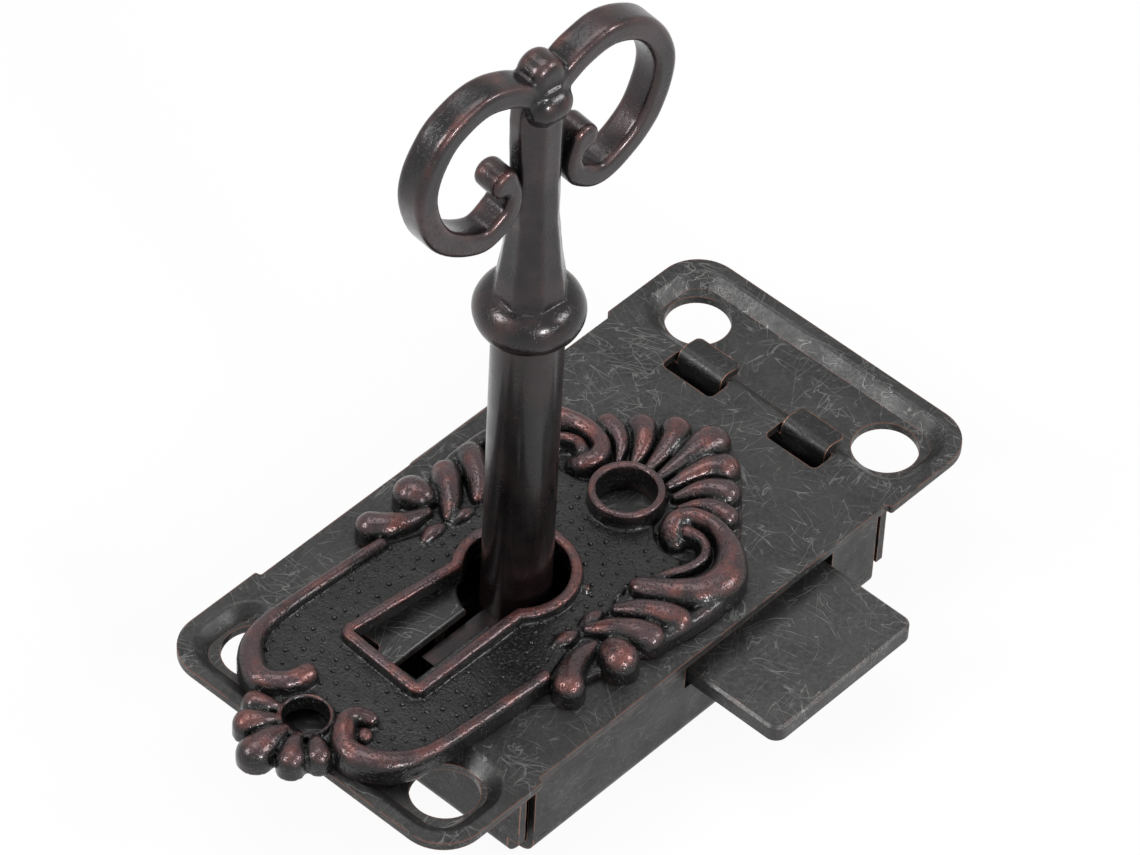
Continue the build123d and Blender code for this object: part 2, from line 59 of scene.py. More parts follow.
class Finish:
    """A procedural material round one Principled shader, with its patterns sized in millimetres."""

    def __init__(self, name, metallic):
        self.material = bpy.data.materials.new(name)
        self.material.use_nodes = True
        self.nodes = self.material.node_tree.nodes
        self.links = self.material.node_tree.links
        self.shader = self.nodes["Principled BSDF"]
        self.shader.inputs["Metallic"].default_value = metallic
        self.place = self.nodes.new("ShaderNodeTexCoord").outputs["Object"]

    def feed(self, socket, value):
        """Link a socket to another node's, or set its own value."""
        if isinstance(value, bpy.types.NodeSocket):
            self.links.new(value, socket)
        else:
            socket.default_value = value

    def noise(self, size, turn=0.0, shift=0.0, detail=2.0):
        """Soft noise whose lumps have one size, or a size along x, y and z, turned about the upright axis."""
        lengths = size if isinstance(size, tuple) else (size, size, size)
        pattern = self.nodes.new("ShaderNodeMapping")
        pattern.vector_type = "TEXTURE"
        self.feed(pattern.inputs["Vector"], self.place)
        pattern.inputs["Location"].default_value = (shift * MM, shift * MM, shift * MM)
        pattern.inputs["Rotation"].default_value = (0, 0, math.radians(turn))
        pattern.inputs["Scale"].default_value = [length * MM for length in lengths]
        texture = self.nodes.new("ShaderNodeTexNoise")
        self.feed(texture.inputs["Vector"], pattern.outputs[0])
        texture.inputs["Scale"].default_value = 1
        texture.inputs["Detail"].default_value = detail
        return texture.outputs[0]

    def sum(self, operation, a, b=0.0):
        """One sum on two values, named as Blender names it."""
        node = self.nodes.new("ShaderNodeMath")
        node.operation = operation
        self.feed(node.inputs[0], a)
        self.feed(node.inputs[1], b)
        return node.outputs[0]

    def step(self, value, low, high, start=0.0, end=1.0):
        """A smooth step between two values as the input goes from low to high."""
        node = self.nodes.new("ShaderNodeMapRange")
        node.interpolation_type = "SMOOTHSTEP"
        for socket, given in zip(node.inputs, (value, low, high, start, end)):
            self.feed(socket, given)
        return node.outputs[0]

    def mix(self, share, a, b):
        """Two colours mixed by a share."""
        node = self.nodes.new("ShaderNodeMix")
        node.data_type = "RGBA"
        self.feed(node.inputs[0], share)
        for socket, colour in ((node.inputs[6], a), (node.inputs[7], b)):
            self.feed(socket, (*colour, 1) if isinstance(colour, tuple) else colour)
        return node.outputs[2]

    def height(self):
        """Height on the piece, in millimetres."""
        apart = self.nodes.new("ShaderNodeSeparateXYZ")
        self.feed(apart.inputs[0], self.place)
        return self.sum("MULTIPLY", apart.outputs["Z"], 1 / MM)

    def facing_up(self):
        """1 on faces that lie level, 0 on upright ones, in the piece's own frame."""
        apart = self.nodes.new("ShaderNodeSeparateXYZ")
        self.feed(apart.inputs[0], self.nodes.new("ShaderNodeTexCoord").outputs["Normal"])
        return apart.outputs["Z"]

    def openness(self, reach):
        """1 on open faces, less in grooves and holes of the same piece, looked at up to a reach."""
        around = self.nodes.new("ShaderNodeAmbientOcclusion")
        around.samples = SHADER_SAMPLES
        around.only_local = True
        around.inputs["Distance"].default_value = reach * MM
        return around.outputs["AO"]

    def edges(self, radius):
        """1 along the sharp edges of a piece and 0 on its open faces."""
        soft = self.nodes.new("ShaderNodeBevel")
        soft.samples = SHADER_SAMPLES
        soft.inputs["Radius"].default_value = radius * MM
        dot = self.nodes.new("ShaderNodeVectorMath")
        dot.operation = "DOT_PRODUCT"
        self.feed(dot.inputs[0], soft.outputs[0])
        self.feed(dot.inputs[1], self.nodes.new("ShaderNodeNewGeometry").outputs["Normal"])
        return self.step(dot.outputs["Value"], *EDGE_COSINES)

    def hairlines(self, layers, length, across, width):
        """Fine wandering scratches in several directions, broken up along their course. 1 on a scratch."""
        total = 0.0
        for layer in range(layers):
            # Odd turns and shifts keep the layers from lining up
            turn = 180 * layer / layers + 11
            wander = self.noise((length, across, across), turn, shift=13.7 * layer + 3, detail=1.5)
            from_line = self.sum("ABSOLUTE", self.sum("SUBTRACT", wander, 0.5))
            line = self.step(from_line, 0, width, start=1, end=0)
            there = self.step(self.noise(4.5, shift=31.3 * layer, detail=1), 0.48, 0.62)
            total = self.sum("MAXIMUM", total, self.sum("MULTIPLY", line, there))
        return total

    def bump(self, height, depth):
        """Raise the surface by a height from 0 to 1, times a depth in millimetres."""
        node = self.nodes.new("ShaderNodeBump")
        node.inputs["Distance"].default_value = depth * MM
        self.feed(node.inputs["Height"], height)
        self.feed(self.shader.inputs["Normal"], node.outputs[0])
        self.feed(self.shader.inputs["Coat Normal"], node.outputs[0])

    def finish(self, colour, roughness):
        """Set the colour and the roughness, and hand over the material."""
        self.feed(self.shader.inputs["Base Color"], colour)
        self.feed(self.shader.inputs["Roughness"], roughness)
        return self.material


# Finishes: colours are linear red, green and blue, and a grey is one number
COPPER = (0.16, 0.08, 0.062)
BARE_COPPER = (0.32, 0.15, 0.10)
# Near black for a casting's hollows: partly the finish's own black, partly painted shade
GRIME_AND_SHADE = (0.005, 0.005, 0.005)
PIT_GRIME = (0.01, 0.009, 0.009)
STEEL_DARK = (0.30, 0.29, 0.28)
STEEL_PALE = (0.40, 0.39, 0.38)
OLD_OIL = (0.17, 0.13, 0.10)
FILM_WEIGHT = 0.42
FILM_ROUGHNESS = 0.12


def antique_sheet(name, dark, pale, scratch, edge_colour, edge_radius, edge_wear):
    """Dark antique plating on sheet or bar, clouded, covered in hair scratches and rubbed off its edges."""
    look = Finish(name, metallic=0.75)
    cloud = look.step(look.noise(7, detail=4), 0.35, 0.65)
    grain = look.noise(0.35, shift=5, detail=3)
    scratches = look.hairlines(layers=7, length=8.0, across=1.5, width=0.009)
    base = look.mix(cloud, (dark, dark, dark * 1.02), (pale, pale, pale))
    base = look.mix(look.step(grain, 0.3, 0.8), base, (pale * 1.3, pale * 1.25, pale * 1.22))
    base = look.mix(look.sum("MULTIPLY", scratches, 0.8), base, (scratch, scratch, scratch * 0.98))
    patches = look.step(look.noise(2.2, shift=9, detail=4), 0.5 - edge_wear, 0.62 - edge_wear)
    worn = look.sum("MULTIPLY", look.edges(edge_radius), patches)
    base = look.mix(worn, base, edge_colour)
    look.bump(look.sum("ADD", grain, look.sum("MULTIPLY", scratches, -0.8)), depth=0.012)
    roughness = look.step(look.noise(3, shift=2, detail=4), 0.3, 0.7, start=0.34, end=0.5)
    return look.finish(base, roughness)


def bronze_casting(name, dark, brown, worn, copper, wear_range, pit_depth, wear_from_height=None):
    """Oil-rubbed bronze under a glossy film: black in the hollows, partly painted shade, and copper on what
    stands out, partly painted light on faces that look up.

    Wear goes by relief in millimetres, and may add a share of the height above a level.
    """
    look = Finish(name, metallic=0.65)
    look.shader.inputs["Coat Weight"].default_value = FILM_WEIGHT
    look.shader.inputs["Coat Roughness"].default_value = FILM_ROUGHNESS
    relief = look.nodes.new("ShaderNodeAttribute")
    relief.attribute_name = "relief"
    stands_out = relief.outputs["Fac"]
    if wear_from_height:
        level, share = wear_from_height
        raised = look.sum("MULTIPLY", look.sum("SUBTRACT", look.height(), level), share)
        stands_out = look.sum("ADD", stands_out, raised)
    patches = look.noise(2.4, detail=5)
    blotch = look.sum("MULTIPLY", look.sum("SUBTRACT", patches, 0.5), 0.5)
    rubbed = look.step(look.sum("ADD", stands_out, blotch), *wear_range)
    # Painted light in part: the copper of wear on what stands out is kept mostly to faces that look up, where
    # light from above falls
    rubbed = look.sum("MULTIPLY", rubbed, look.step(look.facing_up(), 0.1, 0.75, start=0.25))
    # Painted shade, partly the finish's own black: the more closed in a groove or hole is, the darker it gets
    grime_and_shade = look.step(look.openness(reach=2.5), 0.8, 0.35)
    grain = look.noise(0.3, shift=4, detail=4)
    bare = look.mix(look.step(look.noise(2.2, shift=12, detail=4), 0.42, 0.68), worn, copper)
    base = look.mix(look.step(look.noise(6, shift=8), 0.35, 0.65), dark, brown)
    base = look.mix(rubbed, base, bare)
    base = look.mix(look.sum("MULTIPLY", grime_and_shade, 0.85), base, GRIME_AND_SHADE)
    pits = look.step(grain, 0.33, 0.45)
    base = look.mix(look.sum("MULTIPLY", look.sum("SUBTRACT", 1.0, pits), 0.7), base, PIT_GRIME)
    look.bump(look.sum("ADD", pits, grain), pit_depth)
    roughness = look.step(patches, 0.3, 0.7, start=0.26, end=0.4)
    return look.finish(base, look.sum("ADD", roughness, look.sum("MULTIPLY", grime_and_shade, 0.2)))


def oiled_steel():
    """Bare steel of the lock's inner works, with fine turning marks and a brown film of old oil."""
    look = Finish("oiled_steel", metallic=1.0)
    marks = look.noise((3, 3, 0.12), detail=3)
    film = look.step(look.noise(2.5, shift=6, detail=4), 0.42, 0.68)
    base = look.mix(look.step(marks, 0.3, 0.7), STEEL_DARK, STEEL_PALE)
    base = look.mix(film, base, OLD_OIL)
    look.bump(marks, depth=0.01)
    return look.finish(base, look.step(film, 0, 1, start=0.3, end=0.48))


plate_finish = antique_sheet("antique_plate", dark=0.030, pale=0.046, scratch=0.16, edge_colour=COPPER,
                             edge_radius=0.3, edge_wear=0.12)
# The case's sheet has barer copper on its cut edges, and its base is darker than the plate's, partly as
# painted shade on its walls
shaded_case_finish = antique_sheet("antique_case_shaded", dark=0.020, pale=0.031, scratch=0.09, edge_colour=BARE_COPPER,
                            edge_radius=0.22, edge_wear=0.14)
bolt_finish = antique_sheet("antique_bolt", dark=0.038, pale=0.056, scratch=0.17, edge_colour=COPPER,
                            edge_radius=0.22, edge_wear=0.06)
steel_finish = oiled_steel()
cast_bronze = bronze_casting("cast_bronze", dark=(0.008, 0.008, 0.008), brown=(0.013, 0.012, 0.012),
                             worn=(0.060, 0.032, 0.036), copper=(0.130, 0.045, 0.038),
                             wear_range=(0.08, 0.32), pit_depth=0.04, wear_from_height=(1.75, 0.16))
key_bronze = bronze_casting("key_bronze", dark=(0.008, 0.007, 0.008), brown=(0.032, 0.020, 0.022),
                            worn=(0.066, 0.037, 0.039), copper=(0.115, 0.046, 0.040),
                            wear_range=(0.02, 0.26), pit_depth=0.009)
# Painted shade: the turned barrel's finish is a darker copy of the key's, standing in for the dark
# surroundings its round sides reflect
shaded_barrel_bronze = bronze_casting("shaded_barrel_bronze", dark=(0.008, 0.007, 0.007), brown=(0.020, 0.012, 0.013),
                               worn=(0.036, 0.018, 0.020), copper=(0.055, 0.024, 0.024),
                               wear_range=(0.0, 0.12), pit_depth=0.004)

NODE_FINISHES = {"cap_plate": plate_finish, "lock_case": shaded_case_finish, "bolt": bolt_finish,
                 "bolt_spring": steel_finish, "spring_rivet": steel_finish, "guide_stud": steel_finish,
                 "drill_pin": steel_finish, "ward_ring": steel_finish}

for node, finish in NODE_FINISHES.items():
    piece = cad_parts[node]
    if not piece.material_slots:
        piece.data.materials.append(finish)
    for place in piece.material_slots:
        place.material = finish


# Castings are made as a distance field on a grid, in millimetres, and then given a skin
COURSE_SPACING = 0.35
EMPTY_DISTANCE = 9.0
RIDGE_ROOM = 1
TOUCHING = 0.001
RELIEF_ROUNDS = 30
CREASE_DEGREES = 35


def smooth_course(points):
    """Points of a smooth curve through rows of numbers, of which the first two are a place."""
    rows = np.array(points, float)
    rows = np.vstack([2 * rows[0] - rows[1], rows, 2 * rows[-1] - rows[-2]])
    pieces = []
    for before, start, end, after in zip(rows, rows[1:], rows[2:], rows[3:]):
        count = max(1, round(np.linalg.norm((end - start)[:2]) / COURSE_SPACING))
        share = np.arange(count)[:, None] / count
        pieces.append(0.5 * (2 * start + (end - before) * share
                             + (2 * before - 5 * start + 4 * end - after) * share**2
                             + (3 * start - before - 3 * end + after) * share**3))
    return np.vstack(pieces + [rows[-2:-1]])


def rounded(side, top, radius):
    """Distance to a form whose edge between its side and its top is rounded."""
    past_side = side + radius
    past_top = top + radius
    outside = np.hypot(np.maximum(past_side, 0), np.maximum(past_top, 0))
    return outside + np.minimum(np.maximum(past_side, past_top), 0) - radius


def line_distance(x, y, start, end):
    """How far along a straight line, from 0 to 1, its nearest point lies, and the distance to that point."""
    (x0, y0), (x1, y1) = start, end
    squared_length = (x1 - x0)**2 + (y1 - y0)**2
    along = np.clip(((x - x0) * (x1 - x0) + (y - y0) * (y1 - y0)) / squared_length, 0, 1)
    return along, np.hypot(x - x0 - along * (x1 - x0), y - y0 - along * (y1 - y0))


def polygon_distance(x, y, corners):
    """Signed distance in the plane to a closed outline, below zero inside it."""
    nearest = np.full(np.broadcast(x, y).shape, np.inf)
    inside = np.zeros(nearest.shape, bool)
    for (x0, y0), (x1, y1) in zip(corners, corners[1:] + corners[:1]):
        nearest = np.minimum(nearest, line_distance(x, y, (x0, y0), (x1, y1))[1])
        if y0 != y1:
            inside ^= ((y0 > y) != (y1 > y)) & (x < (x1 - x0) * (y - y0) / (y1 - y0) + x0)
    return np.where(inside, -nearest, nearest)


class Casting:
    """A distance field on a grid of equal steps. It is below zero inside the metal."""

    def __init__(self, low, high, step):
        self.low = np.array(low, float)
        self.step = step
        self.axes = [np.arange(start, end + step, step) for start, end in zip(low, high)]
        self.field = np.full([len(axis) for axis in self.axes], EMPTY_DISTANCE, np.float32)

    def grid(self, low=None, high=None):
        """The slices of a window of the grid, and its three coordinates ready to broadcast."""
        if low is None:
            low, high = self.low, self.low + self.step * np.array(self.field.shape)
        window = tuple(slice(max(0, int((start - origin) / self.step)), int((end - origin) / self.step) + 2)
                       for start, end, origin in zip(low, high, self.low))
        x, y, z = (axis[part] for axis, part in zip(self.axes, window))
        return window, x[:, None, None], y[None, :, None], z[None, None, :]

    def join(self, window, distance, blend):
        """Add a form, with a small fillet where it meets what is there."""
        field = self.field[window]
        mix = np.clip(0.5 + 0.5 * (field - distance) / blend, 0, 1)
        self.field[window] = field * (1 - mix) + distance * mix - blend * mix * (1 - mix)

    def cut(self, window, distance, blend):
        """Take a form away, with a small rounding at its mouth."""
        field = self.field[window]
        mix = np.clip(0.5 - 0.5 * (field + distance) / blend, 0, 1)
        self.field[window] = field * (1 - mix) - distance * mix + blend * mix * (1 - mix)

    def ridge(self, points, blend):
        """A round-topped ridge through (x, y, crest height, half width), with sides straight down."""
        course = smooth_course(points)
        reach = course[:, 3].max() + RIDGE_ROOM
        window, x, y, z = self.grid(np.append(course[:, :2].min(0) - reach, -RIDGE_ROOM),
                                    np.append(course[:, :2].max(0) + reach, course[:, 2].max() + RIDGE_ROOM))
        nearest = np.full(np.broadcast(x, y, z).shape, EMPTY_DISTANCE)
        for start, end in zip(course, course[1:]):
            along, across = line_distance(x, y, start[:2], end[:2])
            crest = start[2] + along * (end[2] - start[2])
            radius = start[3] + along * (end[3] - start[3])
            above = np.maximum(z - (crest - radius), 0)
            nearest = np.minimum(nearest, np.hypot(across, above) - radius)
        self.join(window, nearest, blend)

    def skin(self):
        """The surface's vertices, one in each crossed cell, and its quads, one across each crossed edge."""
        inside = self.field < 0
        shape = [size - 1 for size in inside.shape]
        filled = np.zeros(shape, np.int8)
        for corner in product((0, 1), repeat=3):
            filled += inside[tuple(slice(first, first + size) for first, size in zip(corner, shape))]
        active = (filled > 0) & (filled < 8)
        number = np.full(shape, -1)
        number[active] = np.arange(active.sum())
        cells = np.argwhere(active)
        total = np.zeros(cells.shape)
        crossings = np.zeros(len(cells))
        quads = []
        steps = np.eye(3, dtype=int)
        for axis in range(3):
            ahead, left, up = steps[axis], steps[(axis + 1) % 3], steps[(axis + 2) % 3]
            for beside, above in product((0, 1), repeat=2):
                start = cells + beside * left + above * up
                here = self.field[tuple(start.T)]
                there = self.field[tuple((start + ahead).T)]
                crossed = (here < 0) != (there < 0)
                share = here[crossed] / (here[crossed] - there[crossed])
                total[crossed] += start[crossed] + share[:, None] * ahead
                crossings[crossed] += 1
            lower = np.delete(inside, -1, axis)
            upper = np.delete(inside, 0, axis)
            for leaving, turn in ((lower & ~upper, 1), (upper & ~lower, -1)):
                edges = np.argwhere(leaving)
                around = [edges, edges - left, edges - left - up, edges - up]
                quads.append(np.stack([number[tuple(cell.T)] for cell in around][::turn], 1))
        return self.low + self.step * total / crossings[:, None], np.vstack(quads)

    def mirror(self, axis):
        """Complete a casting made for one side only, on a grid that starts MARGIN steps below zero."""
        half = np.delete(self.field, range(MARGIN), axis)
        self.field = np.concatenate([np.delete(np.flip(half, axis), -1, axis), half], axis)
        self.low[axis] = -self.step * (half.shape[axis] - 1)
        self.axes[axis] = self.low[axis] + self.step * np.arange(self.field.shape[axis])

    def roughen(self, depth, size, seed):
        """Make every surface slightly uneven, as a casting is."""
        lumps = [int(length * self.step / size) + 3 for length in self.field.shape]
        uneven = np.random.default_rng(seed).uniform(-depth, depth, lumps)
        for axis, length in enumerate(self.field.shape):
            where = np.arange(length) * self.step / size
            first = where.astype(int)
            share = where - first
            share = (share**2 * (3 - 2 * share)).reshape([-1 if other == axis else 1 for other in range(3)])
            uneven = np.take(uneven, first, axis) * (1 - share) + np.take(uneven, first + 1, axis) * share
        self.field += uneven.astype(np.float32)


def laid(vertices, turn_degrees):
    """Vertices of a loose piece's own frame, centred on the key's axis, as they lie on the lock."""
    turn = math.radians(turn_degrees)
    x, y, z = np.asarray(vertices).T
    turned_x = math.cos(turn) * x - math.sin(turn) * y
    turned_y = math.sin(turn) * x + math.cos(turn) * y
    return np.stack([KEY_X + turned_x, turned_y, z], 1)


def new_piece(name, vertices, faces):
    """A mesh object in the scene, from vertices in millimetres."""
    mesh = bpy.data.meshes.new(name)
    mesh.from_pydata((np.asarray(vertices) * MM).tolist(), [], np.asarray(faces).tolist())
    mesh.validate()
    piece = bpy.data.objects.new(name, mesh)
    bpy.context.scene.collection.objects.link(piece)
    return piece


def thin_flat_side(mesh, height):
    """Put a few large faces in place of the many small ones that lie flat, facing down, at one height."""
    work = bmesh.new()
    work.from_mesh(mesh)
    flat = [face for face in work.faces if face.normal.z < 0
            and all(abs(corner.co.z - height * MM) < TOUCHING * MM for corner in face.verts)]
    bmesh.ops.delete(work, geom=flat, context="FACES")
    rims = [edge for edge in work.edges if edge.is_boundary]
    bmesh.ops.triangle_fill(work, edges=rims, use_beauty=False, use_dissolve=False, normal=(0, 0, -1))
    bmesh.ops.recalc_face_normals(work, faces=work.faces)
    work.to_mesh(mesh)
    work.free()


def note_relief(mesh):
    """Keep on each vertex how far it stands out of its surroundings, in millimetres, as "relief"."""
    count = len(mesh.vertices)
    place = np.empty(count * 3)
    normal = np.empty(count * 3)
    edges = np.empty(len(mesh.edges) * 2, int)
    mesh.vertices.foreach_get("co", place)
    mesh.vertex_normals.foreach_get("vector", normal)
    mesh.edges.foreach_get("vertices", edges)
    place, normal, edges = place.reshape(-1, 3), normal.reshape(-1, 3), edges.reshape(-1, 2)
    ends = np.concatenate([edges[:, 0], edges[:, 1]])
    others = np.concatenate([edges[:, 1], edges[:, 0]])
    degree = np.maximum(np.bincount(ends, minlength=count), 1)
    smooth = place.copy()
    for _ in range(RELIEF_ROUNDS):
        smooth = np.stack([np.bincount(ends, smooth[others, axis], count) for axis in range(3)], 1)
        smooth /= degree[:, None]
    relief = ((place - smooth) * normal).sum(1) / MM
    mesh.attributes.new("relief", "FLOAT", "POINT").data.foreach_set("value", relief)


def shade_smooth(mesh):
    """Shade every face smoothly."""
    mesh.polygons.foreach_set("use_smooth", [True] * len(mesh.polygons))


def shade_smooth_by_angle(mesh):
    """Shade faces smoothly, with a crease left wherever they meet at more than CREASE_DEGREES."""
    work = bmesh.new()
    work.from_mesh(mesh)
    for edge in work.edges:
        edge.smooth = len(edge.link_faces) == 2 and edge.calc_face_angle() < math.radians(CREASE_DEGREES)
    work.to_mesh(mesh)
    work.free()
    shade_smooth(mesh)


# Escutcheon, in its own frame: x along it from the keyhole to the large shell, y across, z up
ESCUTCHEON_STEP = 0.18
ESCUTCHEON_LOW = (-33.6, -MARGIN * ESCUTCHEON_STEP, -0.6)
ESCUTCHEON_HIGH = (27.0, 16.2, 3.9)
FIELD_TOP = 1.35
SKIRT_TOP = 0.95
RIM_TOP = 2.45
RIM_BAND = 1.15
KEYHOLE_RADIUS = 4.7
SLOT_START = 0.5
SLOT_ROOT_HALF = 3.2
SLOT_END_HALF = 4.0
SLOT_REACH = 15.6

# Holes are x, y and radius, as is the lump left on the field by the mould. Rings are band and top
FAR_HOLE = (13.4, 0.0, 2.7)
FAR_RING = (0.8, 3.1)
NEAR_HOLE = (-25.0, 0.0, 2.05)
NEAR_RING = (0.5, 1.75)
MOULD_LUMP = (3.3, -5.3, 0.55)

# A recess in the back, and an oval pocket inside each scroll
RECESS_NEAR_X = -21.0
RECESS_FAR_X = -6.0
RECESS_HALF_WIDTH = 9.9
RECESS_DEPTH = 0.85
POCKET_MIDDLE = (13.3, 6.6)
POCKET_HALF_SIZE = (1.3, 2.2)
POCKET_FLOOR = 0.55
POCKET_EDGE = 0.2

# Roundings of edges, and fillets where forms meet
BODY_EDGE = 0.35
RIM_EDGE = 0.42
RING_EDGE_SHARE = 0.42
BODY_FILLET = 0.2
LOBE_FILLET = 0.12
COURSE_FILLET = 0.2
CURL_FILLET = 0.15
HOLE_ROUNDING = 0.12

# Outlines and courses, for one side and mirrored. A course's rows are x, y, crest height and half width
FIELD_OUTLINE = [(-25.6, -1), (-25.6, 6.6), (-24.2, 9.1), (-21.8, 10.4), (-6.0, 10.6), (-3.0, 9.4),
                 (2.2, 8.7), (3.6, 8.4), (4.6, 7.8), (6.2, 7.6), (7.4, 7.9), (9.0, 8.9), (11.0, 9.2),
                 (12.2, 8.3), (11.9, 6.5), (12.3, 5.0), (13.0, 3.9), (13.6, 3.4), (17.0, 2.0), (17.0, -1)]
SKIRT_OUTLINE = [(-26.2, -1), (-26.2, 6.8), (-24.4, 9.6), (-21.8, 10.9), (-7.0, 10.9), (-5.0, 12.4),
                 (0.0, 13.2), (4.0, 14.2), (8.0, 14.6), (12.0, 14.4), (15.4, 12.7), (17.2, 10.2),
                 (18.6, 9.3), (20.6, 7.5), (24.0, 4.0), (25.4, 1.8), (25.4, -1)]

NEAR_CORNER = [(-6.6, 10.5, 2.15, 0.65), (-14.0, 10.5, 2.2, 0.68), (-19.6, 10.3, 2.35, 0.8),
               (-22.3, 9.55, 2.55, 1.0), (-24.1, 8.1, 2.75, 1.2), (-25.1, 6.2, 2.85, 1.25),
               (-24.9, 4.8, 2.95, 1.12), (-24.0, 3.7, 3.0, 1.05)]
NEAR_LOBES = [[(-27.2, 0.0, 2.0, 0.45), (-28.8, 0.0, 2.6, 1.15), (-30.75, 0.0, 2.7, 1.75)],
              [(-26.9, 1.3, 1.9, 0.4), (-28.2, 2.0, 2.5, 0.95), (-29.2, 2.8, 2.6, 1.35)],
              [(-26.0, 2.4, 1.9, 0.35), (-26.7, 3.2, 2.4, 0.85), (-27.2, 4.1, 2.5, 1.2)]]
FAR_LOBES = [[(17.5, 0.0, 2.0, 0.45), (20.3, 0.0, 2.6, 0.95), (22.5, 0.0, 2.95, 1.5),
              (24.1, 0.0, 3.0, 1.8)],
             [(17.4, 1.35, 1.95, 0.42), (19.6, 1.75, 2.5, 0.85), (21.4, 2.3, 2.85, 1.2),
              (22.6, 3.1, 2.9, 1.5)],
             [(16.9, 2.7, 1.9, 0.42), (18.6, 3.45, 2.45, 0.85), (19.8, 4.35, 2.8, 1.2),
              (20.5, 5.4, 2.85, 1.5)],
             [(16.2, 3.9, 1.9, 0.35), (17.5, 4.9, 2.4, 0.65), (18.3, 6.2, 2.75, 1.0),
              (18.5, 7.6, 2.75, 1.15)]]
SHOULDER = [(-0.8, 10.7, 2.0, 0.5), (-2.8, 10.95, 2.45, 0.95), (-4.6, 11.7, 2.8, 1.3),
            (-5.7, 12.7, 2.85, 1.45)]
BUD = [(0.4, 11.5, 2.0, 0.6), (0.0, 12.5, 2.9, 1.45), (-0.2, 13.3, 3.0, 1.8)]
BEADS = [[(-3.1, 8.4, 1.8, 0.5), (-2.1, 8.5, 2.15, 0.8), (-1.1, 8.5, 1.85, 0.5)],
         [(0.3, 8.3, 1.85, 0.5), (1.2, 8.25, 2.1, 0.75), (2.1, 8.2, 1.85, 0.5)]]
RIBS = [[(0.2, 8.95, 2.0, 0.55), (1.6, 10.4, 2.6, 1.05), (2.8, 12.0, 2.85, 1.35), (3.7, 13.1, 2.6, 1.4)],
        [(3.7, 8.95, 2.0, 0.55), (5.1, 10.5, 2.6, 1.05), (6.2, 12.2, 2.8, 1.3), (6.9, 13.3, 2.55, 1.35)]]
SHELL_RIM = [(2.8, 13.5, 1.6, 0.6), (5.4, 13.9, 1.8, 0.75), (8.2, 14.1, 1.9, 0.8), (10.8, 14.0, 1.9, 0.8)]
SCROLL = [(6.9, 8.4, 2.5, 0.95), (7.7, 9.6, 2.75, 1.25), (8.9, 11.2, 2.9, 1.35), (10.8, 12.6, 3.0, 1.65),
          (13.1, 12.8, 3.05, 1.8), (15.1, 11.6, 3.05, 1.45), (16.3, 9.6, 3.0, 1.0), (16.55, 7.4, 3.0, 0.85),
          (15.9, 5.75, 3.0, 0.88), (14.6, 5.1, 3.0, 0.98), (13.6, 5.5, 2.75, 1.05), (13.3, 6.3, 2.0, 1.0)]
INNER_RIDGE = [(8.4, 8.6, 2.1, 0.4), (10.2, 9.2, 2.2, 0.48), (11.9, 9.8, 2.2, 0.5), (13.4, 9.8, 2.25, 0.52),
               (14.5, 9.0, 2.3, 0.55), (14.85, 7.8, 2.4, 0.6), (14.4, 6.7, 2.6, 0.7)]

# The curls at the near end differ, so both sides are given and they are joined after the mirror
CURL_ENDS = [[(-24.0, 3.7, 3.0, 1.05), (-23.0, 3.25, 3.0, 1.05), (-22.0, 3.2, 2.95, 1.05)],
             [(-24.0, -3.7, 3.0, 1.05), (-23.0, -3.05, 3.0, 0.9), (-21.9, -3.3, 2.85, 0.85),
              (-21.3, -4.3, 2.6, 0.7)],
             [(-22.9, -5.2, 2.25, 0.75), (-22.8, -5.1, 2.25, 0.75)]]


def key_opening(x, y):
    """Signed distance in the plane to the escutcheon's keyhole."""
    slot = [(SLOT_START, -SLOT_ROOT_HALF), (SLOT_START, SLOT_ROOT_HALF), (-SLOT_REACH, SLOT_END_HALF),
            (-SLOT_REACH, -SLOT_END_HALF)]
    return np.minimum(np.hypot(x, y) - KEYHOLE_RADIUS, polygon_distance(x, y, slot))


def add_body(casting):
    """The skirt, the field that stands on it and the pocket inside the scroll."""
    whole, x, y, z = casting.grid()
    for outline, top in ((SKIRT_OUTLINE, SKIRT_TOP), (FIELD_OUTLINE, FIELD_TOP)):
        casting.join(whole, rounded(polygon_distance(x, y, outline), z - top, BODY_EDGE), BODY_FILLET)
    pocket_x, pocket_y = POCKET_MIDDLE
    half_x, half_y = POCKET_HALF_SIZE
    pocket = (np.hypot((x - pocket_x) / half_x, (y - pocket_y) / half_y) - 1) * half_x
    casting.cut(whole, rounded(pocket, POCKET_FLOOR - z, POCKET_EDGE), BODY_FILLET)


def add_rims_and_holes(casting):
    """The rings round the two pin holes and the rim round the keyhole, and then their openings."""
    whole, x, y, z = casting.grid()
    for (hole_x, hole_y, radius), (band, top) in ((FAR_HOLE, FAR_RING), (NEAR_HOLE, NEAR_RING)):
        across = np.abs(np.hypot(x - hole_x, y - hole_y) - radius - band / 2) - band / 2
        casting.join(whole, rounded(across, z - top, RING_EDGE_SHARE * band), BODY_FILLET)
    opening = key_opening(x, y)
    across = np.abs(opening - RIM_BAND / 2) - RIM_BAND / 2
    casting.join(whole, rounded(across, z - RIM_TOP, RIM_EDGE), BODY_FILLET)
    casting.cut(whole, opening + 0 * z, HOLE_ROUNDING)
    for hole_x, hole_y, radius in (FAR_HOLE, NEAR_HOLE):
        casting.cut(whole, np.hypot(x - hole_x, y - hole_y) - radius + 0 * z, HOLE_ROUNDING)


def finish_back(casting):
    """The recess in the escutcheon's back, and the flat face that it lies on."""
    _, x, y, z = casting.grid()
    beside = np.maximum(np.maximum(RECESS_NEAR_X - x, x - RECESS_FAR_X), np.abs(y) - RECESS_HALF_WIDTH)
    casting.field = np.maximum(casting.field, -np.maximum(beside, z - RECESS_DEPTH)).astype(np.float32)
    casting.field = np.maximum(casting.field, -z).astype(np.float32)


